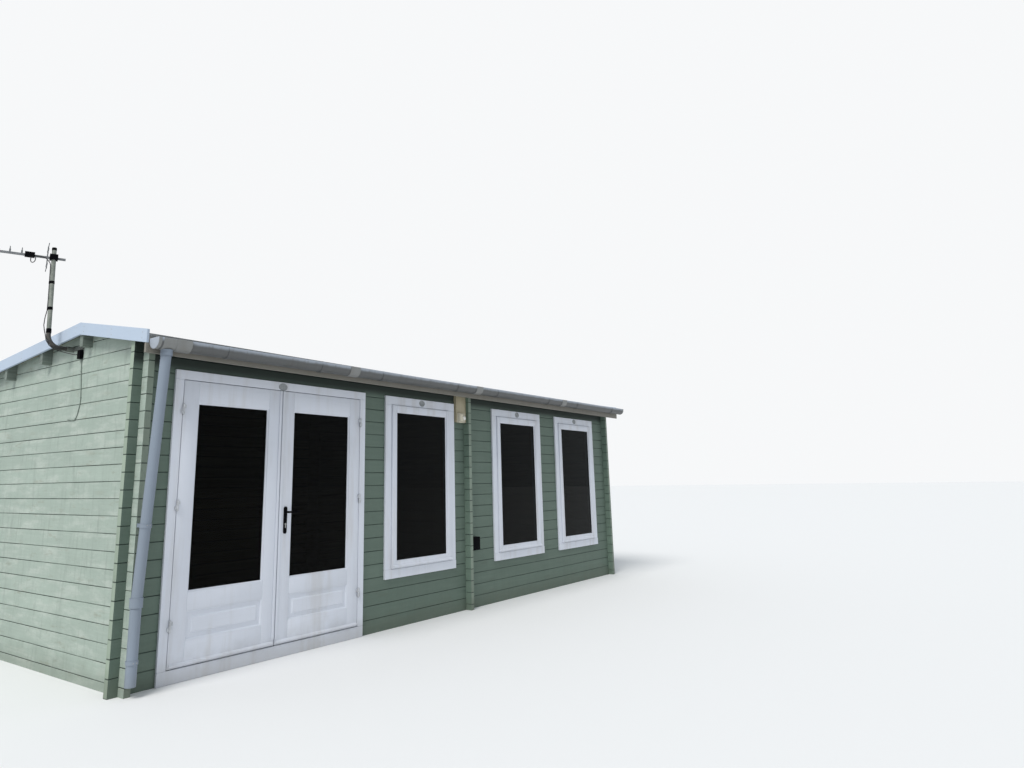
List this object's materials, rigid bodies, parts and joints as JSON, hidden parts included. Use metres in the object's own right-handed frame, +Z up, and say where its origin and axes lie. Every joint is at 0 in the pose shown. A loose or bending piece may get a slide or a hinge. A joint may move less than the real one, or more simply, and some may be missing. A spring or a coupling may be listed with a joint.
{
  "type": "garden office pod",
  "caption": "Log garden office with a low offset ridge, glazed double doors, tall front windows, gutter, downpipe and aerial.",
  "frame": {"origin": "middle of the walls' footprint, on the underside of the floor joists and the lowest logs", "axes": "+X along the front wall from the gable with the aerial to the far gable, +Y from the front wall to the back wall, +Z up"},
  "size_m": [8.0808, 3.0046, 3.11],
  "materials": {
    "log_wall": "satin painted sage green logs, darker in the joints",
    "floor": "bare softwood",
    "roof_timber": "bare softwood",
    "felt": "mineral roofing felt, rough",
    "joinery": "white painted joinery, satin",
    "bargeboard": "white painted boards, weathered",
    "fascia": "white painted board, dirty",
    "glass": "clear glazing",
    "hinge": "white coated hinges",
    "handle": "black lever handle",
    "disc": "plain grey disc",
    "gutter": "pale grey plastic",
    "bracket": "dark plastic",
    "downpipe": "grey plastic",
    "sensor_board": "beige board",
    "sensor": "cream housing with pale lens",
    "socket": "black plastic",
    "mast": "weathered galvanised steel",
    "aerial": "weathered aluminium",
    "cable": "black cable sheath"
  },
  "bodies": {
    "building": {"floor_joists": "floor", "floor_boards": "floor", "left_corner_logs": "log_wall", "door_side_logs": "log_wall", "partition_side_logs": "log_wall", "window_side_logs": "log_wall", "right_corner_logs": "log_wall", "window_low_logs": "log_wall", "front_top_logs": "log_wall", "back_wall": "log_wall", "left_gable": "log_wall", "right_gable": "log_wall", "partition_front_logs": "log_wall", "partition_back_logs": "log_wall", "partition_top_logs": "log_wall", "door_frame": "joinery", "frame_hinges": "hinge", "window_1_frame": "joinery", "window_2_frame": "joinery", "window_3_frame": "joinery", "window_1_sash": "joinery", "window_2_sash": "joinery", "window_3_sash": "joinery", "window_panes": "glass", "frame_discs": "disc", "purlins": "roof_timber", "front_roof_boards": "roof_timber", "rear_roof_boards": "roof_timber", "front_felt": "felt", "rear_felt": "felt", "ridge_felt": "felt", "left_bargeboards": "bargeboard", "right_bargeboards": "bargeboard", "front_fascia": "fascia", "rear_fascia": "fascia", "gutter": "gutter", "gutter_outlet": "gutter", "gutter_unions": "gutter", "gutter_brackets": "bracket", "downpipe_head": "downpipe", "downpipe": "downpipe", "pipe_clips": "downpipe", "sensor_board": "sensor_board", "movement_sensor": "sensor", "outdoor_socket": "socket", "mast_bracket": "mast", "mast": "mast", "aerial": "aerial", "cable_box": "socket", "aerial_cable": "cable"},
    "left_door": {"left_door_leaf": "joinery", "left_door_glass": "glass", "left_leaf_hinges": "hinge"},
    "right_door": {"right_door_leaf": "joinery", "right_door_glass": "glass", "right_leaf_hinges": "hinge", "handle_plates": "handle"},
    "door_lever": {"door_lever": "handle"}
  },
  "joints": [
    {"name": "left_door_hinge", "type": "hinge", "parent": "building", "child": "left_door", "pos_m": [-3.1645, -1.27915, 1.11], "axis": [0, 0, -1], "range_deg": [0, 100]},
    {"name": "right_door_hinge", "type": "hinge", "parent": "building", "child": "right_door", "pos_m": [-1.4275, -1.27915, 1.11], "axis": [0, 0, 1], "range_deg": [0, 100]},
    {"name": "lever_spindle", "type": "hinge", "parent": "right_door", "child": "door_lever", "pos_m": [-2.2315, -1.25, 1.063], "axis": [0, 1, 0], "range_deg": [0, 45], "stiffness_Nm_per_rad": 0.5, "springref_deg": -28.65}
  ]
}
